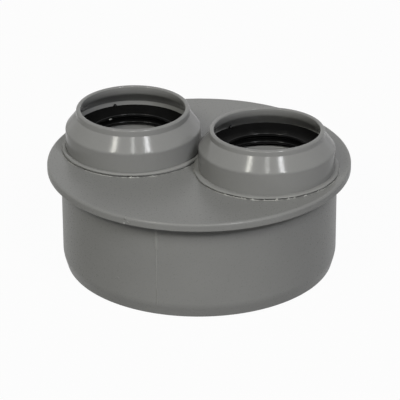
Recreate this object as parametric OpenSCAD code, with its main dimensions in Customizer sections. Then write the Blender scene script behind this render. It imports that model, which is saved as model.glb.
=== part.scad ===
// Reducing plug for waste pipe: a flanged spigot closes the socket of a large
// pipe, and two ring-seal sockets welded into its plate take two small pipes.
// Millimetres. Origin at the centre of the spigot's lower rim, Z up, with both
// sockets on the X axis.

/* [Spigot and flange] */
// Outside diameter of the spigot
spigot_d = 110; // [109:1:160]
// Wall of the spigot
spigot_wall = 3.2; // [2:0.1:4]
// Length of the spigot below the flange
spigot_len = 39.9; // [32:0.1:80]
// Height of the lead-in chamfer on the lower rim
lead_in_h = 4; // [1:0.5:8]
// Depth of the lead-in chamfer on the lower rim
lead_in_depth = 1.4; // [0.4:0.1:1.6]
// How far the flange stands out past the spigot
flange_overhang = 5.5; // [4:0.5:12]
// Thickness of the flange plate
flange_t = 3.3; // [2.6:0.1:6]
// Rounding of the flange's upper edge
flange_edge_r = 1.1; // [0.4:0.1:1.5]

/* [Socket] */
// Outside diameter of the pipe that each socket takes
pipe_d = 40; // [32:1:41]
// Play of the pipe in the sleeve, on the radius
sleeve_play = 0.25; // [0.1:0.05:0.6]
// Wall of the sleeve below the plate
sleeve_wall = 1.9; // [1.4:0.1:3]
// Depth of the sleeve below the top of the plate
sleeve_len = 28; // [12:0.5:34]
// How far the pipe stop stands in from the sleeve
stop_depth = 2.2; // [0.8:0.1:4]
// Thickness of the pipe stop
stop_t = 2; // [1:0.1:4]
// Space between the housings of the two sockets
socket_gap = 1.8; // [0.6:0.1:3]

/* [Seal housing] */
// Depth of the seal groove, outwards from the pipe
groove_depth = 4.35; // [3:0.05:4.8]
// Wall of the housing round the groove
housing_wall = 2.95; // [2:0.05:3.6]
// Height of the straight side of the housing
housing_h = 9.4; // [9:0.1:14]
// Height of the groove's floor above the plate
floor_h = 1.2; // [0.4:0.1:1.4]
// Height of the cone that closes the housing in
cone_h = 5.45; // [4:0.05:9]
// Play of the pipe in the mouth, on the radius
mouth_play = 0.87; // [0.4:0.01:1.4]
// Wall of the mouth's collar
rim_wall = 1.9; // [1.4:0.1:2.6]
// Height of the mouth's collar above the cone
rim_h = 2.35; // [1.6:0.05:5]

/* [Weld bead] */
// Width of the rolled bead round the foot of a housing
bead_w = 1.5; // [0.8:0.1:2]
// Height of the rolled bead
bead_h = 1.3; // [0.6:0.1:2]

/* [Seal ring] */
// Height of the seal ring
seal_h = 6.9; // [6:0.1:7.2]
// Play of the seal ring in its groove, on the radius
seal_play = 0.1; // [0.02:0.01:0.25]
// Bite of the upper lip on the pipe
upper_bite = 2.35; // [1:0.05:3.5]
// Bite of the lower lip on the pipe
lower_bite = 1.2; // [0.5:0.05:3]
// Thickness of a lip
lip_t = 1; // [0.6:0.1:1.3]
// How far the right seal ring has ridden up from its groove's floor
right_seal_lift = 0.9; // [0:0.1:0.9]
// Height of the moulding nub on a seal ring
nub_h = 0.9; // [0.3:0.1:1.2]
// Bearing of the nub on the left ring, from the X axis
left_nub_turn = 129; // [0:1:359]
// Bearing of the nub on the right ring, from the X axis
right_nub_turn = 150; // [0:1:359]

/* [Hidden] */
$fn = 96;
arc_steps = 5;
slack = 1;

pvc_grey = [0.46, 0.465, 0.455];
rubber_black = [0.06, 0.06, 0.06];

spigot_r = spigot_d / 2;
spigot_bore_r = spigot_r - spigot_wall;
flange_r = spigot_r + flange_overhang;
plate_top = spigot_len + flange_t;
edge_break = 0.3;
plate_fillet = 1.2;
lead_in_blend = 1.5;

pipe_r = pipe_d / 2;
sleeve_r = pipe_r + sleeve_play;
sleeve_out_r = sleeve_r + sleeve_wall;
stop_r = sleeve_r - stop_depth;
hole_play = 0.1;
groove_r = pipe_r + groove_depth;
housing_r = groove_r + housing_wall;
mouth_r = pipe_r + mouth_play;
rim_out_r = mouth_r + rim_wall;
collar_flare = 0.2;
neck_z = housing_h + cone_h;
rim_top = neck_z + rim_h;
land_drop = 0.6;
land_z = neck_z - land_drop;
housing_round = 1.6;
neck_round = 0.6;
rim_round = rim_wall * 0.45;
socket_x = housing_r + socket_gap / 2;

bead_root = 0.05;
bead_parting = 0.1;

seal_out_r = groove_r - seal_play;
upper_lip_r = pipe_r - upper_bite;
lower_lip_r = pipe_r - lower_bite;
lip_root = 1;
seal_core_r = pipe_r + lip_root;
foot_root = 0.5;
seal_foot_r = pipe_r + foot_root;
lip_fall = 1.5;
upper_lip_z = seal_h - lip_fall;
lower_lip_z = 2;
lower_lip_fall = 0.6;
lip_root_t = 1.3;
lip_round = lip_t * 0.4;
seal_round = 0.5;
nub_r = 0.6;
nub_inset = 0.9;

function unit(v) = v / norm(v);

// Points of the corner at b, between a and c, rounded to radius r
function corner(a, b, c, r) =
    let (u = unit(a - b), v = unit(c - b))
    let (half = acos(u * v) / 2)
    let (centre = b + unit(u + v) * r / sin(half))
    let (start = b + u * r / tan(half) - centre)
    let (first = atan2(start[1], start[0]))
    let (turn = (180 - 2 * half) * sign(cross(u, v)))
    r == 0 ? [b] : [
        for (k = [0 : arc_steps])
            let (at = first - turn * k / arc_steps)
            centre + r * [cos(at), sin(at)]
    ];

function flat(p) = [p[0], p[1]];

// Outline through points given as [radius, height, rounding]
function rounded(points) =
    let (n = len(points))
    [
        for (i = [0 : n - 1])
            each corner(
                flat(points[(i + n - 1) % n]),
                flat(points[i]),
                flat(points[(i + 1) % n]),
                points[i][2]
            )
    ];

// Section of the flanged spigot, from the bore outwards and up
plug_section = [
    [spigot_bore_r, 0, edge_break],
    [spigot_r - lead_in_depth, 0, edge_break],
    [spigot_r, lead_in_h, lead_in_blend],
    [spigot_r, spigot_len, 0],
    [flange_r, spigot_len, edge_break],
    [flange_r, plate_top, flange_edge_r],
    [0, plate_top, 0],
    [0, spigot_len, 0],
    [spigot_bore_r, spigot_len, plate_fillet],
];

// Section of a socket, heights from the top of the plate: sleeve, housing,
// cone and collar up the outside, then mouth, groove and pipe stop inside
socket_section = [
    [sleeve_out_r, -sleeve_len, edge_break],
    [sleeve_out_r, 0, 0],
    [housing_r, 0, 0],
    [housing_r, housing_h, housing_round],
    [rim_out_r + collar_flare, neck_z, neck_round],
    [rim_out_r, rim_top, rim_round],
    [mouth_r, rim_top, rim_round],
    [mouth_r, land_z, neck_round],
    [groove_r, housing_h, edge_break],
    [groove_r, floor_h, edge_break],
    [sleeve_r, floor_h, edge_break],
    [sleeve_r, stop_t - sleeve_len, edge_break],
    [stop_r, stop_t - sleeve_len, edge_break],
    [stop_r, -sleeve_len, edge_break],
];

// Section of a seal ring, heights from its seat: an outer band with a long
// upper lip that wipes the pipe and a short lower lip that seals on it
seal_section = [
    [seal_out_r, 0, edge_break],
    [seal_out_r, seal_h, seal_round],
    [upper_lip_r, upper_lip_z, lip_round],
    [upper_lip_r, upper_lip_z - lip_t, lip_round],
    [seal_core_r, upper_lip_z - lip_root_t, edge_break],
    [seal_core_r, lower_lip_z + lower_lip_fall, edge_break],
    [lower_lip_r, lower_lip_z, lip_round],
    [lower_lip_r, lower_lip_z - lip_t, lip_round],
    [seal_foot_r, 0, edge_break],
];

module revolve(section) {
    rotate_extrude() polygon(rounded(section));
}

// Flanged spigot, with room for the whole length of both sleeves
module plug_body() {
    color(pvc_grey)
    difference() {
        revolve(plug_section);
        for (side = [-1, 1])
            translate([side * socket_x, 0, plate_top - sleeve_len - hole_play])
                cylinder(r = sleeve_out_r + hole_play, h = sleeve_len + hole_play + slack);
    }
}

// Half-round bead that the weld pushes out round the foot of a housing
module weld_bead() {
    middle = housing_r - bead_root + bead_w / 2;
    steps = 2 * arc_steps;
    rotate_extrude()
        polygon([
            for (k = [0 : steps])
                let (at = 180 * k / steps)
                [middle + cos(at) * bead_w / 2, sin(at) * bead_h]
        ]);
}

// Socket on the side of the given sign, its bead parted from the other one
module socket(side) {
    color(pvc_grey)
    difference() {
        translate([side * socket_x, 0, plate_top]) {
            revolve(socket_section);
            weld_bead();
        }
        translate([side * (bead_parting / 2 - socket_x) - socket_x, -socket_x, plate_top - slack])
            cube([2 * socket_x, 2 * socket_x, bead_h + 2 * slack]);
    }
}

module left_socket() {
    socket(-1);
}

module right_socket() {
    socket(1);
}

// Seal ring that has ridden up by lift, with its nub at the given bearing
module seal(side, lift, nub_turn) {
    color(rubber_black)
    translate([side * socket_x, 0, plate_top + floor_h + lift]) {
        revolve(seal_section);
        rotate(nub_turn)
            translate([seal_out_r - nub_inset - nub_r, 0, seal_h - slack])
                cylinder(r = nub_r, h = nub_h + slack);
    }
}

module left_seal() {
    seal(-1, 0, left_nub_turn);
}

module right_seal() {
    seal(1, right_seal_lift, right_nub_turn);
}

plug_body();
left_socket();
right_socket();
left_seal();
right_seal();
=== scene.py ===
import math
import bmesh
import bpy
from mathutils import Matrix, Vector, noise


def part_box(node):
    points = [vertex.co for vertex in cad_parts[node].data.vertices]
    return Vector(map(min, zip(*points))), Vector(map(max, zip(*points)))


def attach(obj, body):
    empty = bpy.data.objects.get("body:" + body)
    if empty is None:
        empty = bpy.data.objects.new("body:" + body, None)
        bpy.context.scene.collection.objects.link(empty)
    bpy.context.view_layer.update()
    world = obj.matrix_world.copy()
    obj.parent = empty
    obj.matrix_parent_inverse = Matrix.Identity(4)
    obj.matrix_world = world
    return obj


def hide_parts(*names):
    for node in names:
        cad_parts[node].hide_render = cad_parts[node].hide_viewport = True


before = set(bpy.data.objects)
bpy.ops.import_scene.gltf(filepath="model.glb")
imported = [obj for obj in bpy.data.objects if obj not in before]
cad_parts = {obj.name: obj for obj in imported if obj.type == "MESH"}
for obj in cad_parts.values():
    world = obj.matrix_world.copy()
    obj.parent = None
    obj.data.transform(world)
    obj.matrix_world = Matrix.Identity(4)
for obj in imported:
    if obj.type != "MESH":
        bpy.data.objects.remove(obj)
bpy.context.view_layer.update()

# Grey PVC reducing plug: a flanged spigot with two push-fit sockets welded into
# its plate, and a black rubber ring in each. The CAD nodes give the places.
# Sections are drawn in millimetres and made metres as each piece is finished.

mm = 0.001
tau = 2 * math.pi
arcSteps = 5  # faces round each rounded corner

plugLow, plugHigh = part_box("plug_body")
socketLow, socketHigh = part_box("right_socket")
leftSealLow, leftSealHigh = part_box("left_seal")
rightSealLow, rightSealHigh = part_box("right_seal")

plateTop = plugHigh.z / mm
flangeR = plugHigh.x / mm
socketX = (rightSealLow.x + rightSealHigh.x) / 2 / mm
sleeveFoot = socketLow.z / mm - plateTop  # below the plate, so negative
sealOutR = (rightSealHigh.y - rightSealLow.y) / 2 / mm

sides = {"left": -1, "right": 1}
sealSeat = {"left": leftSealLow.z / mm, "right": rightSealLow.z / mm}


# Shader helpers

def addNode(tree, kind, place, **settings):
    node = tree.nodes.new(kind)
    node.location = place
    for name, value in settings.items():
        setattr(node, name, value)
    return node


def setInputs(node, **values):
    for name, value in values.items():
        node.inputs[name].default_value = value
    return node


def newGroup(name, inputs, outputs):
    group = bpy.data.node_groups.new(name, "ShaderNodeTree")
    for label, kind, value in inputs:
        socket = group.interface.new_socket(name=label, in_out="INPUT", socket_type=kind)
        socket.default_value = value
    for label, kind in outputs:
        group.interface.new_socket(name=label, in_out="OUTPUT", socket_type=kind)
    start = addNode(group, "NodeGroupInput", (-1000, 0))
    end = addNode(group, "NodeGroupOutput", (600, 0))
    return group, start, end


def placeGroup(tree, group, place, values):
    node = addNode(tree, "ShaderNodeGroup", place, node_tree=group)
    for name, value in values.items():
        node.inputs[name].default_value = value
    return node


# Uneven tone of moulded plastic: wide blotches and a finer speckle, around 1
def makeToneGroup():
    group, start, end = newGroup(
        "mouldedTone",
        [
            ("Blotch Scale", "NodeSocketFloat", 40.0),
            ("Blotch", "NodeSocketFloat", 0.04),
            ("Speckle Scale", "NodeSocketFloat", 700.0),
            ("Speckle", "NodeSocketFloat", 0.02),
        ],
        [("Tone", "NodeSocketFloat"), ("Patch", "NodeSocketFloat")],
    )
    link = group.links.new
    coords = addNode(group, "ShaderNodeTexCoord", (-1000, 300))
    wide = addNode(group, "ShaderNodeTexNoise", (-760, 300))
    setInputs(wide, Detail=3.0, Roughness=0.5, Distortion=0.4)
    fine = addNode(group, "ShaderNodeTexNoise", (-760, -60))
    setInputs(fine, Detail=2.0, Roughness=0.6)
    link(coords.outputs["Object"], wide.inputs["Vector"])
    link(coords.outputs["Object"], fine.inputs["Vector"])
    link(start.outputs["Blotch Scale"], wide.inputs["Scale"])
    link(start.outputs["Speckle Scale"], fine.inputs["Scale"])
    patch = addNode(group, "ShaderNodeMapRange", (-540, 300))
    setInputs(patch, **{"From Min": 0.3, "From Max": 0.7, "To Min": -1.0, "To Max": 1.0})
    link(wide.outputs["Fac"], patch.inputs["Value"])
    dots = addNode(group, "ShaderNodeMapRange", (-540, -60))
    setInputs(dots, **{"From Min": 0.3, "From Max": 0.7, "To Min": -1.0, "To Max": 1.0})
    link(fine.outputs["Fac"], dots.inputs["Value"])
    blotch = addNode(group, "ShaderNodeMath", (-320, 300), operation="MULTIPLY")
    link(patch.outputs["Result"], blotch.inputs[0])
    link(start.outputs["Blotch"], blotch.inputs[1])
    speckle = addNode(group, "ShaderNodeMath", (-320, -60), operation="MULTIPLY_ADD")
    link(dots.outputs["Result"], speckle.inputs[0])
    link(start.outputs["Speckle"], speckle.inputs[1])
    speckle.inputs[2].default_value = 1.0
    tone = addNode(group, "ShaderNodeMath", (-100, 120), operation="ADD")
    link(blotch.outputs["Value"], tone.inputs[0])
    link(speckle.outputs["Value"], tone.inputs[1])
    link(tone.outputs["Value"], end.inputs["Tone"])
    link(patch.outputs["Result"], end.inputs["Patch"])
    return group


# Marks that a turned mould leaves: fine rings round an upright axis at Centre,
# which follow height and radius at once, so they show on cones and on plates
def makeRingGroup():
    group, start, end = newGroup(
        "turnedRings",
        [
            ("Centre", "NodeSocketVector", (0.0, 0.0, 0.0)),
            ("Per Metre", "NodeSocketFloat", 900.0),
            ("Break Up", "NodeSocketFloat", 0.35),
        ],
        [("Height", "NodeSocketFloat")],
    )
    link = group.links.new
    coords = addNode(group, "ShaderNodeTexCoord", (-1000, 300))
    away = addNode(group, "ShaderNodeVectorMath", (-780, 300), operation="SUBTRACT")
    link(coords.outputs["Object"], away.inputs[0])
    link(start.outputs["Centre"], away.inputs[1])
    split = addNode(group, "ShaderNodeSeparateXYZ", (-600, 300))
    link(away.outputs["Vector"], split.inputs["Vector"])
    flat = addNode(group, "ShaderNodeCombineXYZ", (-420, 420))
    link(split.outputs["X"], flat.inputs["X"])
    link(split.outputs["Y"], flat.inputs["Y"])
    radius = addNode(group, "ShaderNodeVectorMath", (-240, 420), operation="LENGTH")
    link(flat.outputs["Vector"], radius.inputs[0])
    depth = addNode(group, "ShaderNodeMath", (-60, 360), operation="SUBTRACT")
    link(split.outputs["Z"], depth.inputs[0])
    link(radius.outputs["Value"], depth.inputs[1])
    count = addNode(group, "ShaderNodeMath", (120, 360), operation="MULTIPLY")
    link(depth.outputs["Value"], count.inputs[0])
    link(start.outputs["Per Metre"], count.inputs[1])
    rings = addNode(group, "ShaderNodeTexNoise", (300, 360), noise_dimensions="1D")
    setInputs(rings, Scale=1.0, Detail=2.0, Roughness=0.7)
    link(count.outputs["Value"], rings.inputs["W"])
    wear = addNode(group, "ShaderNodeTexNoise", (-60, 60))
    setInputs(wear, Scale=120.0, Detail=2.0)
    link(coords.outputs["Object"], wear.inputs["Vector"])
    fade = addNode(group, "ShaderNodeMapRange", (120, 60))
    setInputs(fade, **{"From Min": 0.35, "From Max": 0.6, "To Max": 1.0})
    link(wear.outputs["Fac"], fade.inputs["Value"])
    link(start.outputs["Break Up"], fade.inputs["To Min"])
    height = addNode(group, "ShaderNodeMath", (480, 240), operation="MULTIPLY")
    link(rings.outputs["Fac"], height.inputs[0])
    link(fade.outputs["Result"], height.inputs[1])
    link(height.outputs["Value"], end.inputs["Height"])
    end.location = (680, 240)
    return group


# Fine skin of a moulded or vulcanised surface, for bump and for sheen
def makeGrainGroup():
    group, start, end = newGroup(
        "fineSkin",
        [
            ("Grain Scale", "NodeSocketFloat", 1500.0),
            ("Wave Scale", "NodeSocketFloat", 160.0),
            ("Wave", "NodeSocketFloat", 1.0),
        ],
        [("Height", "NodeSocketFloat"), ("Grain", "NodeSocketFloat")],
    )
    link = group.links.new
    coords = addNode(group, "ShaderNodeTexCoord", (-1000, 300))
    grain = addNode(group, "ShaderNodeTexNoise", (-760, 300))
    setInputs(grain, Detail=3.0, Roughness=0.55)
    wave = addNode(group, "ShaderNodeTexNoise", (-760, -20))
    setInputs(wave, Detail=1.0, Roughness=0.4)
    link(coords.outputs["Object"], grain.inputs["Vector"])
    link(coords.outputs["Object"], wave.inputs["Vector"])
    link(start.outputs["Grain Scale"], grain.inputs["Scale"])
    link(start.outputs["Wave Scale"], wave.inputs["Scale"])
    height = addNode(group, "ShaderNodeMath", (-480, 140), operation="MULTIPLY_ADD")
    link(wave.outputs["Fac"], height.inputs[0])
    link(start.outputs["Wave"], height.inputs[1])
    link(grain.outputs["Fac"], height.inputs[2])
    link(height.outputs["Value"], end.inputs["Height"])
    link(grain.outputs["Fac"], end.inputs["Grain"])
    return group


toneGroup = makeToneGroup()
ringGroup = makeRingGroup()
grainGroup = makeGrainGroup()


# A moulded finish: uneven tone, roughness that follows it, ring marks and skin
def mouldedMaterial(name, look):
    material = bpy.data.materials.new(name)
    material.use_nodes = True
    tree = material.node_tree
    link = tree.links.new
    shader = tree.nodes["Principled BSDF"]
    shader.location = (500, 200)
    tree.nodes["Material Output"].location = (800, 200)
    setInputs(shader, IOR=look["ior"])

    tone = placeGroup(tree, toneGroup, (-700, 400), look["tone"])
    colour = addNode(tree, "ShaderNodeVectorMath", (-300, 460), operation="SCALE")
    colour.inputs[0].default_value = look["colour"]
    link(tone.outputs["Tone"], colour.inputs["Scale"])
    link(colour.outputs["Vector"], shader.inputs["Base Color"])

    skin = placeGroup(tree, grainGroup, (-700, 60), look["skin"])
    gloss = addNode(tree, "ShaderNodeMapRange", (-300, 200))
    low, high = look["roughness"]
    setInputs(gloss, **{"From Min": 0.3, "From Max": 0.7, "To Min": low, "To Max": high})
    link(skin.outputs["Grain"], gloss.inputs["Value"])
    link(gloss.outputs["Result"], shader.inputs["Roughness"])

    skinBump = addNode(tree, "ShaderNodeBump", (0, -60))
    setInputs(skinBump, Strength=1.0, Distance=look["skinDepth"] * mm)
    link(skin.outputs["Height"], skinBump.inputs["Height"])
    normal = skinBump
    for k, centre in enumerate(look["ringCentres"]):
        rings = placeGroup(tree, ringGroup, (-700, -300 - 260 * k), look["rings"])
        rings.inputs["Centre"].default_value = centre
        ringBump = addNode(tree, "ShaderNodeBump", (200, -300 - 260 * k))
        setInputs(ringBump, Strength=1.0, Distance=look["ringDepth"] * mm)
        link(rings.outputs["Height"], ringBump.inputs["Height"])
        link(normal.outputs["Normal"], ringBump.inputs["Normal"])
        normal = ringBump
    link(normal.outputs["Normal"], shader.inputs["Normal"])
    return material


pvcLook = {
    "colour": (0.200, 0.200, 0.197),
    "ior": 1.37,
    "tone": {"Blotch Scale": 38.0, "Blotch": 0.03, "Speckle Scale": 900.0, "Speckle": 0.01},
    "skin": {"Grain Scale": 1600.0, "Wave Scale": 130.0, "Wave": 3.0},
    "skinDepth": 0.006,
    "roughness": (0.26, 0.34),
    "rings": {"Per Metre": 500.0, "Break Up": 0.2},
    "ringDepth": 0.004,
    "ringCentres": [(0.0, 0.0, 0.0)],
}

socketLooks = {
    side: {
        **pvcLook,
        "colour": (0.209, 0.209, 0.206),
        "roughness": (0.13, 0.17),
        "rings": {"Per Metre": 900.0, "Break Up": 0.3},
        "ringDepth": 0.006,
        "ringCentres": [(sign * socketX * mm, 0.0, plateTop * mm)],
    }
    for side, sign in sides.items()
}

weldLook = {
    **pvcLook,
    "colour": (0.215, 0.215, 0.210),
    "roughness": (0.38, 0.52),
    "skinDepth": 0.02,
    "ringCentres": [],
}

# Lighter grey, also used on the gate scar and the lip speck: on the parting seam it is a painted
# highlight along the raised ridge
paleMarkAndSheenLook = {**pvcLook, "colour": (0.245, 0.245, 0.239), "ringCentres": []}

flashLook = {
    **pvcLook,
    "colour": (0.42, 0.42, 0.40),
    "tone": {"Blotch Scale": 300.0, "Blotch": 0.25, "Speckle Scale": 1500.0, "Speckle": 0.1},
    "roughness": (0.32, 0.5),
    "skinDepth": 0.03,
    "ringCentres": [],
}

rubberLook = {
    "colour": (0.005, 0.005, 0.005),
    "ior": 1.3,
    "tone": {"Blotch Scale": 150.0, "Blotch": 0.15, "Speckle Scale": 1200.0, "Speckle": 0.05},
    "skin": {"Grain Scale": 1200.0, "Wave Scale": 200.0, "Wave": 2.0},
    "skinDepth": 0.006,
    "roughness": (0.17, 0.24),
    "rings": {"Per Metre": 800.0, "Break Up": 0.3},
    "ringDepth": 0.01,
    "ringCentres": [],
}

greyPvc = mouldedMaterial("greyPvc", pvcLook)
socketPvc = {side: mouldedMaterial(side + "SocketPvc", socketLooks[side]) for side in sides}
weldPvc = mouldedMaterial("weldPvc", weldLook)
paleMarkAndSheenPvc = mouldedMaterial("paleMarkAndSheenPvc", paleMarkAndSheenLook)
flashPvc = mouldedMaterial("flashPvc", flashLook)
blackRubber = mouldedMaterial("blackRubber", rubberLook)
print("materials made")


# Mesh helpers

# Draws a section in the XZ plane from corners of (radius, height, rounding)
def drawSection(bm, corners, closed=True):
    verts = [bm.verts.new((radius, 0, height)) for radius, height, rounding in corners]
    nexts = verts[1:] + verts[:1] if closed else verts[1:]
    for start, end in zip(verts, nexts):
        bm.edges.new((start, end))
    points = [Vector((radius, height)) for radius, height, rounding in corners]
    for k, (radius, height, rounding) in enumerate(corners):
        if not rounding:
            continue
        before = points[k - 1] - points[k]
        after = points[(k + 1) % len(points)] - points[k]
        cut = rounding / math.tan(before.angle(after) / 2)
        bmesh.ops.bevel(
            bm, geom=[verts[k]], affect="VERTICES", offset=cut, offset_type="OFFSET",
            segments=arcSteps, profile=0.5, material=-1,
        )


# Turns everything drawn so far once round the Z axis
def spinRound(bm, steps):
    bmesh.ops.spin(
        bm, geom=bm.verts[:] + bm.edges[:], cent=(0, 0, 0), axis=(0, 0, 1), dvec=(0, 0, 0),
        angle=tau, steps=steps, use_merge=True, use_normal_flip=False, use_duplicate=False,
    )
    bmesh.ops.remove_doubles(bm, verts=bm.verts[:], dist=0.0005)
    bmesh.ops.recalc_face_normals(bm, faces=bm.faces[:])


# Smooth noise round a ring, from about -1 to 1, the same on every run
def ringNoise(bearing, waves, seed):
    reach = waves / tau
    return noise.noise(Vector((math.cos(bearing) * reach, math.sin(bearing) * reach, seed)))


# How the sockets stand in the plate, as welded: degrees that each leans to the
# photograph's side, and how far it stands up and to the right as seen from there
stance = {
    "left": {"lean": 0.5, "rise": 0.12, "shift": -0.15},
    "right": {"lean": -1.2, "rise": 0.0, "shift": 0.5},
}
photoAzimuth = 21.72


# Leans what is drawn round the origin with its socket, and puts it in its place
def standInSocket(bm, side, height):
    bmesh.ops.translate(bm, verts=bm.verts[:], vec=(0, 0, height + stance[side]["rise"]))
    across = Matrix.Rotation(math.radians(photoAzimuth), 3, "Z") @ Vector((1, 0, 0))
    turn = Matrix.Rotation(math.radians(stance[side]["lean"]), 3, across)
    bmesh.ops.rotate(bm, verts=bm.verts[:], cent=(0, 0, 0), matrix=turn)
    middle = Vector((sides[side] * socketX, 0, plateTop)) + across * stance[side]["shift"]
    bmesh.ops.translate(bm, verts=bm.verts[:], vec=middle)


# Makes the object from a bmesh in millimetres, and puts it on its body
def finishPiece(bm, name, material, offset=(0, 0, 0), sharpAngle=35):
    bmesh.ops.translate(bm, verts=bm.verts[:], vec=offset)
    bmesh.ops.scale(bm, verts=bm.verts[:], vec=(mm, mm, mm))
    for face in bm.faces:
        face.smooth = True
    mesh = bpy.data.meshes.new(name)
    bm.to_mesh(mesh)
    bm.free()
    mesh.set_sharp_from_angle(angle=math.radians(sharpAngle))
    mesh.materials.append(material)
    piece = bpy.data.objects.new(name, mesh)
    bpy.context.scene.collection.objects.link(piece)
    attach(piece, "root")
    return piece


# Keeps big flat faces flat where they meet a rounding
def weighNormals(piece):
    modifier = piece.modifiers.new("flatFaces", "WEIGHTED_NORMAL")
    modifier.keep_sharp = True


# Plug body: spigot, flange and plate in one moulding

plug = {
    "spigotR": 55.0,
    "boreR": 51.8,
    "flangeUnder": 39.9,
    "leadInHeight": 5.0,
    "leadInDepth": 1.4,
    "leadInBlend": 9.0,
    "footRound": 0.4,
    "flangeRound": 1.1,
    "underRound": 0.4,
    "plateFillet": 1.2,
    "rootFillet": 0.3,
    "sleeveHoleR": 21.2,  # inside the sleeve's wall, so that no crack shows
    "steps": 288,
}


def makePlugBody():
    bm = bmesh.new()
    drawSection(bm, [
        (plug["boreR"], 0, plug["footRound"]),
        (plug["spigotR"] - plug["leadInDepth"], 0, plug["footRound"]),
        (plug["spigotR"], plug["leadInHeight"], plug["leadInBlend"]),
        (plug["spigotR"], plug["flangeUnder"], plug["rootFillet"]),
        (flangeR, plug["flangeUnder"], plug["underRound"]),
        (flangeR, plateTop, plug["flangeRound"]),
        (0, plateTop, 0),
        (0, plug["flangeUnder"], 0),
        (plug["boreR"], plug["flangeUnder"], plug["plateFillet"]),
    ])
    spinRound(bm, plug["steps"])
    body = finishPiece(bm, "plugBody", greyPvc)
    for side, sign in sides.items():
        cutterMesh = bmesh.new()
        bmesh.ops.create_cone(
            cutterMesh, cap_ends=True, segments=192, depth=20,
            radius1=plug["sleeveHoleR"], radius2=plug["sleeveHoleR"],
        )
        cutter = finishPiece(
            cutterMesh, side + "Cutter", greyPvc, (sign * socketX, 0, plateTop)
        )
        hole = body.modifiers.new(side + "Hole", "BOOLEAN")
        hole.operation = "DIFFERENCE"
        hole.solver = "EXACT"
        hole.object = cutter
    depsgraph = bpy.context.evaluated_depsgraph_get()
    cut = bpy.data.meshes.new_from_object(body.evaluated_get(depsgraph))
    body.modifiers.clear()
    body.data = cut
    cut.name = "plugBody"
    for side in sides:
        bpy.data.objects.remove(bpy.data.objects[side + "Cutter"])
    cut.set_sharp_from_angle(angle=math.radians(35))
    weighNormals(body)
    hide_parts("plug_body")
    return body


plugBody = makePlugBody()
print("plug body made")


# Sockets: sleeve, seal housing, cone and collar turned in one section

socket = {
    "sleeveR": 20.25,
    "sleeveOutR": 22.15,
    "stopR": 18.05,
    "stopHeight": 2.0,
    "housingR": {"left": 27.12, "right": 27.0},
    "housingHeight": 9.4,
    "grooveR": 24.35,
    "grooveFlare": 6.5,
    "grooveTopR": 25.1,
    "grooveTop": {"left": 9.3, "right": 9.15},
    "throatR": 21.3,
    "throatAbove": 4.75,
    "throatRound": 3.5,
    "floorHeight": 0.8,
    "neckR": 22.82,
    "neckHeight": 14.85,
    "mouthR": 20.87,
    "landAbove": 6.55,
    "landRound": 3.0,
    "rimOutR": 22.62,
    "rimHeight": {"left": 17.5, "right": 17.1},
    "rimRound": 0.8,
    "rimInRound": 0.55,
    "housingRound": 1.6,
    "neckRound": 0.5,
    "edgeBreak": 0.3,
    "steps": 224,
}


def makeSocket(side):
    s = socket
    grooveTop = s["grooveTop"][side]
    bm = bmesh.new()
    drawSection(bm, [
        (s["sleeveOutR"], sleeveFoot, s["edgeBreak"]),
        (s["sleeveOutR"], -1, 0),
        (s["housingR"][side], -1, 0),
        (s["housingR"][side], s["housingHeight"], s["housingRound"]),
        (s["neckR"], s["neckHeight"], s["neckRound"]),
        (s["rimOutR"], s["rimHeight"][side], s["rimRound"]),
        (s["mouthR"], s["rimHeight"][side], s["rimInRound"]),
        (s["mouthR"], grooveTop + s["landAbove"], s["landRound"]),
        (s["throatR"], grooveTop + s["throatAbove"], s["throatRound"]),
        (s["grooveTopR"], grooveTop, s["edgeBreak"]),
        (s["grooveR"], s["grooveFlare"], 0),
        (s["grooveR"], s["floorHeight"], s["edgeBreak"]),
        (s["sleeveR"], s["floorHeight"], s["edgeBreak"]),
        (s["sleeveR"], sleeveFoot + s["stopHeight"], s["edgeBreak"]),
        (s["stopR"], sleeveFoot + s["stopHeight"], s["edgeBreak"]),
        (s["stopR"], sleeveFoot, s["edgeBreak"]),
    ])
    spinRound(bm, s["steps"])
    standInSocket(bm, side, 0)
    piece = finishPiece(bm, side + "Socket", socketPvc[side])
    weighNormals(piece)
    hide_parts(side + "_socket")
    return piece


sockets = {side: makeSocket(side) for side in sides}
print("sockets made")


# Weld beads: the plastic that the weld rolled out round the foot of each housing

bead = {
    "halfWidth": {"left": 0.88, "right": 1.4},
    "halfHeight": {"left": 0.7, "right": 0.58},
    "tubeFaces": 16,
    "lift": {"left": 0.8, "right": 0.62},
    "middleR": {"left": 27.9, "right": 27.75},
    "wander": 0.22,
    "squeeze": {"left": 0.0, "right": 0.9},  # how far it sits in beside its neighbour
    "squeezeBearing": 200,
    "squeezeSpan": 38,
    "swell": 0.16,
    "ripple": 0.05,
    "seeds": {"left": 3.7, "right": 11.2},
    "steps": 420,
}


# How far the bead strays outwards at a bearing
def beadDrift(side, bearing):
    drift = bead["wander"] * ringNoise(bearing, 7, bead["seeds"][side] + 20)
    turn = (math.degrees(bearing) - bead["squeezeBearing"] + 180) % 360 - 180
    return drift - bead["squeeze"][side] * math.exp(-(turn / bead["squeezeSpan"]) ** 2)


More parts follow.
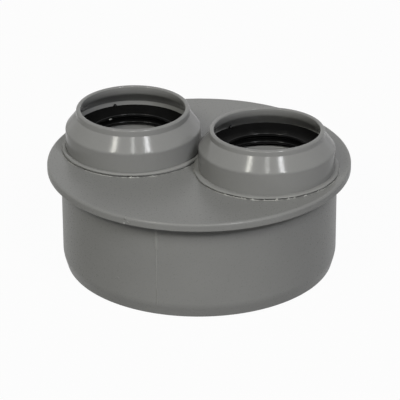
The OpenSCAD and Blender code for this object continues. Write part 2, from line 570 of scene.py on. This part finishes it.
def makeBead(side):
    seed = bead["seeds"][side]
    bm = bmesh.new()
    bmesh.ops.create_circle(bm, cap_ends=False, segments=bead["tubeFaces"], radius=1)
    bmesh.ops.rotate(bm, verts=bm.verts[:], cent=(0, 0, 0), matrix=Matrix.Rotation(tau / 4, 3, "X"))
    bmesh.ops.scale(bm, verts=bm.verts[:], vec=(bead["halfWidth"][side], 1, bead["halfHeight"][side]))
    bmesh.ops.translate(bm, verts=bm.verts[:], vec=(bead["middleR"][side], 0, bead["lift"][side]))
    spinRound(bm, bead["steps"])
    for vert in bm.verts:
        bearing = math.atan2(vert.co.y, vert.co.x)
        out = Vector((math.cos(bearing), math.sin(bearing), 0))
        middle = out * bead["middleR"][side] + Vector((0, 0, bead["lift"][side]))
        size = 1 + bead["swell"] * ringNoise(bearing, 26, seed) * 2
        shift = beadDrift(side, bearing)
        lump = bead["ripple"] * ringNoise(bearing, 120, seed + 40)
        vert.co = middle + (vert.co - middle) * (size + lump) + out * shift
    return finishPiece(
        bm, side + "WeldBead", weldPvc, (sides[side] * socketX, 0, plateTop)
    )


beads = {side: makeBead(side) for side in sides}


# Weld flash: a thin torn fin at the bead's outer foot, with a few raised curls.
# Each curl is (bearing, width, height) in degrees and millimetres

flash = {
    "footR": {"left": 28.85, "right": 29.2},
    "lean": 0.3,
    "thickness": 0.22,
    "depth": 0.5,
    "height": 0.05,
    "ragged": 0.35,
    "seeds": {"left": 5.1, "right": 17.9},
    "curls": {
        "left": [(-69, 2.6, 0.6), (-64, 2.0, 0.5), (-53, 3.0, 0.25), (-100, 3.0, 0.15)],
        "right": [
            (-87.7, 1.6, 0.7), (-85.2, 1.5, 0.8), (-79.5, 2.0, 0.7), (-61.1, 1.6, 1.0),
            (-52.2, 1.6, 0.7), (-47.6, 1.8, 0.8), (-38.1, 2.4, 0.7), (-26, 2.0, 0.7),
            (-94, 1.6, 0.5), (-102, 2.0, 0.45), (-111, 2.5, 0.4), (-70, 1.4, 0.5),
        ],
    },
    "steps": 900,
}


def flashTop(side, bearing):
    tall = flash["height"] + flash["ragged"] * ringNoise(bearing, 60, flash["seeds"][side])
    tall += 0.5 * flash["ragged"] * ringNoise(bearing, 190, flash["seeds"][side] + 9)
    for curlBearing, width, height in flash["curls"][side]:
        turn = math.degrees(bearing) - curlBearing
        turn = (turn + 180) % 360 - 180
        tall += height * math.exp(-(turn / width * 2) ** 2)
    return tall


def makeFlash(side):
    foot = flash["footR"][side]
    bm = bmesh.new()
    drawSection(bm, [
        (foot, -flash["depth"], 0),
        (foot + flash["thickness"], -flash["depth"], 0),
        (foot + flash["thickness"], 0, 0),
        (foot + flash["thickness"] * 0.6, 1, 0),
        (foot, 0, 0),
    ])
    spinRound(bm, flash["steps"])
    for vert in bm.verts:
        bearing = math.atan2(vert.co.y, vert.co.x)
        out = Vector((math.cos(bearing), math.sin(bearing), 0))
        vert.co += out * beadDrift(side, bearing)
        if vert.co.z > 0.5:
            tall = flashTop(side, bearing)
            vert.co.z = tall
            vert.co += out * flash["lean"] * max(tall, 0)
    return finishPiece(
        bm, side + "WeldFlash", flashPvc, (sides[side] * socketX, 0, plateTop)
    )


flashes = {side: makeFlash(side) for side in sides}
print("weld beads and flash made")


# Seal rings: an outer band, a long upper lip that wipes the pipe and a short lower one

seal = {
    "height": 6.9,
    "crown": {"left": 0.2, "right": 1.0},
    "crownIn": 0.55,
    "upperLipR": 17.65,
    "upperLipZ": 5.4,
    "lowerLipR": 18.8,
    "lowerLipZ": 1.6,
    "lowerLipFall": 0.6,
    "lip": 1.0,
    "lipRoot": 1.3,
    "coreR": 21.0,
    "footR": 20.5,
    "topRound": 0.4,
    "lipRound": 0.38,
    "edgeBreak": 0.3,
    "nubInset": 1.1,
    "nubR": 0.75,
    "nubHeight": 1.0,
    "nubOnCrown": 0.8,
    "nubBearing": {"left": 131.5, "right": 149},
    "steps": 192,
}


def makeSeal(side):
    s = seal
    bm = bmesh.new()
    drawSection(bm, [
        (sealOutR, 0, s["edgeBreak"]),
        (sealOutR, s["height"] - s["crownIn"], 0),
        (sealOutR - s["crownIn"], s["height"] + s["crown"][side], s["topRound"]),
        (s["upperLipR"], s["upperLipZ"], s["lipRound"]),
        (s["upperLipR"], s["upperLipZ"] - s["lip"], s["lipRound"]),
        (s["coreR"], s["upperLipZ"] - s["lipRoot"], s["edgeBreak"]),
        (s["coreR"], s["lowerLipZ"] + s["lowerLipFall"], s["edgeBreak"]),
        (s["lowerLipR"], s["lowerLipZ"], s["lipRound"]),
        (s["lowerLipR"], s["lowerLipZ"] - s["lip"], s["lipRound"]),
        (s["footR"], 0, s["edgeBreak"]),
    ])
    spinRound(bm, s["steps"])
    turn = math.radians(s["nubBearing"][side])
    nubMiddle = sealOutR - s["nubInset"]
    nubFoot = s["height"] + s["nubOnCrown"] * s["crown"][side]
    made = bmesh.ops.create_icosphere(bm, subdivisions=3, radius=s["nubR"])
    bmesh.ops.scale(bm, verts=made["verts"], vec=(1, 1, s["nubHeight"] / s["nubR"]))
    bmesh.ops.translate(
        bm, verts=made["verts"],
        vec=(nubMiddle * math.cos(turn), nubMiddle * math.sin(turn), nubFoot),
    )
    standInSocket(bm, side, sealSeat[side] - plateTop)
    piece = finishPiece(bm, side + "Seal", blackRubber)
    weighNormals(piece)
    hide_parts(side + "_seal")
    return piece


seals = {side: makeSeal(side) for side in sides}
print("seals made")


# A small light grey lump on the upper lip of the left ring

lipSpeckShape = {"bearing": 145.0, "r": 17.5, "height": 5.65, "halfSizes": (0.22, 0.7, 0.22)}


def makeLipSpeck():
    bm = bmesh.new()
    bmesh.ops.create_icosphere(bm, subdivisions=3, radius=1)
    for vert in bm.verts:
        vert.co *= 1 + 0.3 * noise.noise(vert.co * 2)
    bmesh.ops.scale(bm, verts=bm.verts[:], vec=lipSpeckShape["halfSizes"])
    bmesh.ops.translate(bm, verts=bm.verts[:], vec=(lipSpeckShape["r"], 0, 0))
    turn = Matrix.Rotation(math.radians(lipSpeckShape["bearing"]), 3, "Z")
    bmesh.ops.rotate(bm, verts=bm.verts[:], cent=(0, 0, 0), matrix=turn)
    standInSocket(bm, "left", lipSpeckShape["height"])
    return finishPiece(bm, "lipSpeck", paleMarkAndSheenPvc, sharpAngle=60)


lipSpeck = makeLipSpeck()


# Marks of the mould on the plug body, placed by bearing from the X axis

marks = {
    "seamBearing": -85.7,
    "seamWidth": 0.5,
    "seamHeight": 0.2,
    "seamFoot": 4.5,
    "tabWidth": 1.2,
    "tabHeight": 0.22,
    "tabFoot": 28.8,
    "gateBearing": -95.9,
    "gateHeight": 41.3,
    "blisterBearing": -103.7,
    "blisterHeight": 12.7,
    "blisterR": 0.9,
    "blisterRise": 0.12,
    "sunk": 0.3,
}


# A bar standing on the barrel, with rounded edges, drawn at bearing 0
def addBar(bm, low, high, width, rise):
    made = bmesh.ops.create_cube(bm, size=1)
    depth = rise + marks["sunk"]
    bmesh.ops.scale(bm, verts=made["verts"], vec=(depth, width, high - low))
    middle = (plug["spigotR"] + rise - depth / 2, 0, (low + high) / 2)
    bmesh.ops.translate(bm, verts=made["verts"], vec=middle)
    outer = [
        edge for edge in bm.edges
        if all(vert in made["verts"] and vert.co.x > plug["spigotR"] for vert in edge.verts)
    ]
    bmesh.ops.bevel(
        bm, geom=outer, affect="EDGES", offset=rise * 0.9, offset_type="OFFSET",
        segments=3, profile=0.5, material=-1,
    )


def makeSeam():
    bm = bmesh.new()
    addBar(bm, marks["seamFoot"], plug["flangeUnder"], marks["seamWidth"], marks["seamHeight"])
    addBar(bm, marks["tabFoot"], plug["flangeUnder"], marks["tabWidth"], marks["tabHeight"])
    turn = Matrix.Rotation(math.radians(marks["seamBearing"]), 3, "Z")
    bmesh.ops.rotate(bm, verts=bm.verts[:], cent=(0, 0, 0), matrix=turn)
    # the seam's lighter grey is a painted highlight along its ridge
    return finishPiece(bm, "partingSeam", paleMarkAndSheenPvc)


def makeBlister():
    bm = bmesh.new()
    bmesh.ops.create_icosphere(bm, subdivisions=4, radius=marks["blisterR"])
    bmesh.ops.scale(bm, verts=bm.verts[:], vec=(marks["blisterRise"] / marks["blisterR"], 1, 0.8))
    bmesh.ops.translate(bm, verts=bm.verts[:], vec=(plug["spigotR"], 0, marks["blisterHeight"]))
    turn = Matrix.Rotation(math.radians(marks["blisterBearing"]), 3, "Z")
    bmesh.ops.rotate(bm, verts=bm.verts[:], cent=(0, 0, 0), matrix=turn)
    return finishPiece(bm, "barrelBlister", greyPvc, sharpAngle=180)


# The torn stub that the runner left on the flange's edge
def makeGate():
    bm = bmesh.new()
    for k, (along, up, size) in enumerate([(-0.8, -0.9, 0.42), (-0.2, 1.2, 0.4), (1.0, -0.1, 0.38)]):
        made = bmesh.ops.create_icosphere(bm, subdivisions=3, radius=size)
        for vert in made["verts"]:
            vert.co *= 1 + 0.45 * noise.noise(vert.co * 3 + Vector((k * 5, 0, 0)))
        bmesh.ops.scale(bm, verts=made["verts"], vec=(0.5, 1, 1))
        bmesh.ops.translate(bm, verts=made["verts"], vec=(flangeR, along, marks["gateHeight"] + up))
    turn = Matrix.Rotation(math.radians(marks["gateBearing"]), 3, "Z")
    bmesh.ops.rotate(bm, verts=bm.verts[:], cent=(0, 0, 0), matrix=turn)
    return finishPiece(bm, "gateScar", paleMarkAndSheenPvc, sharpAngle=50)


seam = makeSeam()
blister = makeBlister()
gate = makeGate()
print("mould marks made")


# Floor: it shows as white, keeps the part's shadow, and lights it as pale card

floorLook = {"size": 4.0, "colour": (0.35, 0.35, 0.35), "whiteShare": 0.965, "mirroredShare": 0.5}


# Share of white in what the camera sees, straight and in a reflection
def seenShare(tree, place, straight, mirrored):
    x, y = place
    path = addNode(tree, "ShaderNodeLightPath", (x, y))
    other = addNode(tree, "ShaderNodeMath", (x + 200, y - 100), operation="MAXIMUM")
    tree.links.new(path.outputs["Is Glossy Ray"], other.inputs[0])
    tree.links.new(path.outputs["Is Transmission Ray"], other.inputs[1])
    first = addNode(tree, "ShaderNodeMath", (x + 200, y + 100), operation="MULTIPLY")
    tree.links.new(path.outputs["Is Camera Ray"], first.inputs[0])
    first.inputs[1].default_value = straight
    share = addNode(tree, "ShaderNodeMath", (x + 400, y), operation="MULTIPLY_ADD")
    tree.links.new(other.outputs["Value"], share.inputs[0])
    share.inputs[1].default_value = mirrored
    tree.links.new(first.outputs["Value"], share.inputs[2])
    return share


def makeFloor():
    bm = bmesh.new()
    bmesh.ops.create_grid(bm, x_segments=1, y_segments=1, size=floorLook["size"] / 2)
    mesh = bpy.data.meshes.new("floor")
    bm.to_mesh(mesh)
    bm.free()
    floor = bpy.data.objects.new("floor", mesh)
    floor.location.z = -0.05 * mm
    bpy.context.scene.collection.objects.link(floor)
    material = bpy.data.materials.new("paleFloor")
    material.use_nodes = True
    tree = material.node_tree
    card = tree.nodes["Principled BSDF"]
    card.inputs["Base Color"].default_value = (*floorLook["colour"], 1)
    setInputs(card, Roughness=0.9)
    card.inputs["Specular IOR Level"].default_value = 0.0
    glow = addNode(tree, "ShaderNodeEmission", (0, -400))
    setInputs(glow, Strength=1.0)
    share = seenShare(tree, (-800, -200), floorLook["whiteShare"], floorLook["mirroredShare"])
    blend = addNode(tree, "ShaderNodeMixShader", (400, 0))
    tree.links.new(share.outputs["Value"], blend.inputs["Fac"])
    tree.links.new(card.outputs["BSDF"], blend.inputs[1])
    tree.links.new(glow.outputs["Emission"], blend.inputs[2])
    tree.links.new(blend.outputs["Shader"], tree.nodes["Material Output"].inputs["Surface"])
    mesh.materials.append(material)


# Studio: a dim surround, the same at every height, seen as white,
# and three upright strip lamps that draw the three streaks on each cone

studio = {"lowLight": 0.01, "highLight": 0.01, "mirroredShare": 0.93}
aim = Vector((0, 0, 0.045))
lamps = {
    "leftStrip": {
        "azimuth": photoAzimuth - 40, "elevation": 44, "width": 0.54, "height": 2.3,
        "radiance": 25.0, "colour": (1.0, 0.99, 0.91),
    },
    "middleStrip": {
        "azimuth": photoAzimuth, "elevation": 44, "width": 0.43, "height": 2.3,
        "radiance": 12.0, "colour": (1.0, 1.0, 0.97),
    },
    "rightStrip": {
        "azimuth": photoAzimuth + 31, "elevation": 44, "width": 0.54, "height": 2.3,
        "radiance": 30.0, "colour": (0.975, 0.98, 1.0),
    },
    "leftFill": {
        "azimuth": photoAzimuth - 24, "elevation": 38, "width": 2.2, "height": 0.8,
        "radiance": 13.6, "colour": (1.0, 1.0, 0.90), "mirrored": False,
    },
    "rightFill": {
        "azimuth": photoAzimuth + 24, "elevation": 38, "width": 2.2, "height": 0.8,
        "radiance": 17.0, "colour": (0.97, 0.985, 1.0), "mirrored": False,
    },
    "leftBack": {
        "azimuth": photoAzimuth - 158, "elevation": 4, "width": 2.2, "height": 0.8,
        "radiance": 13.0, "colour": (1.0, 1.0, 0.97), "mirrored": False,
    },
    "rightBack": {
        "azimuth": photoAzimuth + 158, "elevation": 4, "width": 2.2, "height": 0.8,
        "radiance": 13.0, "colour": (1.0, 1.0, 0.97), "mirrored": False,
    },
}
lampDistance = 6.0


def makeStudio():
    world = bpy.data.worlds.new("studio")
    bpy.context.scene.world = world
    world.use_nodes = True
    tree = world.node_tree
    link = tree.links.new
    coords = addNode(tree, "ShaderNodeTexCoord", (-900, 200))
    split = addNode(tree, "ShaderNodeSeparateXYZ", (-700, 200))
    link(coords.outputs["Generated"], split.inputs["Vector"])
    strength = addNode(tree, "ShaderNodeMapRange", (-500, 200), clamp=True)
    setInputs(strength, **{"From Min": 0.0, "From Max": 1.0})
    setInputs(strength, **{"To Min": studio["lowLight"], "To Max": studio["highLight"]})
    link(split.outputs["Z"], strength.inputs["Value"])
    surround = tree.nodes["Background"]
    surround.location = (-200, 200)
    surround.inputs["Color"].default_value = (1, 1, 1, 1)
    link(strength.outputs["Result"], surround.inputs["Strength"])
    white = addNode(tree, "ShaderNodeBackground", (-200, 0))
    setInputs(white, Color=(1, 1, 1, 1), Strength=1.0)
    seen = seenShare(tree, (-800, -200), 1.0, studio["mirroredShare"])
    blend = addNode(tree, "ShaderNodeMixShader", (100, 100))
    link(seen.outputs["Value"], blend.inputs["Fac"])
    link(surround.outputs["Background"], blend.inputs[1])
    link(white.outputs["Background"], blend.inputs[2])
    link(blend.outputs["Shader"], tree.nodes["World Output"].inputs["Surface"])


def makeLamp(name, look):
    azimuth = math.radians(look["azimuth"])
    elevation = math.radians(look["elevation"])
    level = math.cos(elevation)
    away = Vector((math.sin(azimuth) * level, -math.cos(azimuth) * level, math.sin(elevation)))
    data = bpy.data.lights.new(name, "AREA")
    data.shape = "RECTANGLE"
    data.size = look["width"]
    data.size_y = look["height"]
    data.color = look["colour"]
    data.energy = look["radiance"] * math.pi * look["width"] * look["height"]
    lamp = bpy.data.objects.new(name, data)
    lamp.location = aim + away * lampDistance
    lamp.rotation_euler = away.to_track_quat("Z", "Y").to_euler()
    lamp.visible_camera = False
    lamp.visible_glossy = look.get("mirrored", True)
    bpy.context.scene.collection.objects.link(lamp)


makeFloor()
makeStudio()
for lampName, lampLook in lamps.items():
    makeLamp(lampName, lampLook)
print("floor and studio made")


# Camera: from the photograph's side and height, level but for a slight roll

cameraLook = {
    "place": (350.5, -878.5, 476.7),
    "turn": 21.734,
    "down": 25.55,
    "roll": 0.29,
    "lens": 234.98,
    "sensor": 36.0,
}


def makeCamera():
    data = bpy.data.cameras.new("camera")
    data.lens = cameraLook["lens"]
    data.sensor_width = cameraLook["sensor"]
    data.sensor_fit = "HORIZONTAL"
    data.clip_start = 0.05
    data.clip_end = 20
    camera = bpy.data.objects.new("camera", data)
    turn = Matrix.Rotation(math.radians(cameraLook["turn"]), 4, "Z")
    tilt = Matrix.Rotation(math.radians(90 - cameraLook["down"]), 4, "X")
    roll = Matrix.Rotation(-math.radians(cameraLook["roll"]), 4, "Z")
    place = Matrix.Translation(Vector(cameraLook["place"]) * mm)
    camera.matrix_world = place @ turn @ tilt @ roll
    bpy.context.scene.collection.objects.link(camera)
    bpy.context.scene.camera = camera


makeCamera()
bpy.context.scene.view_settings.view_transform = "Standard"
print("camera placed")
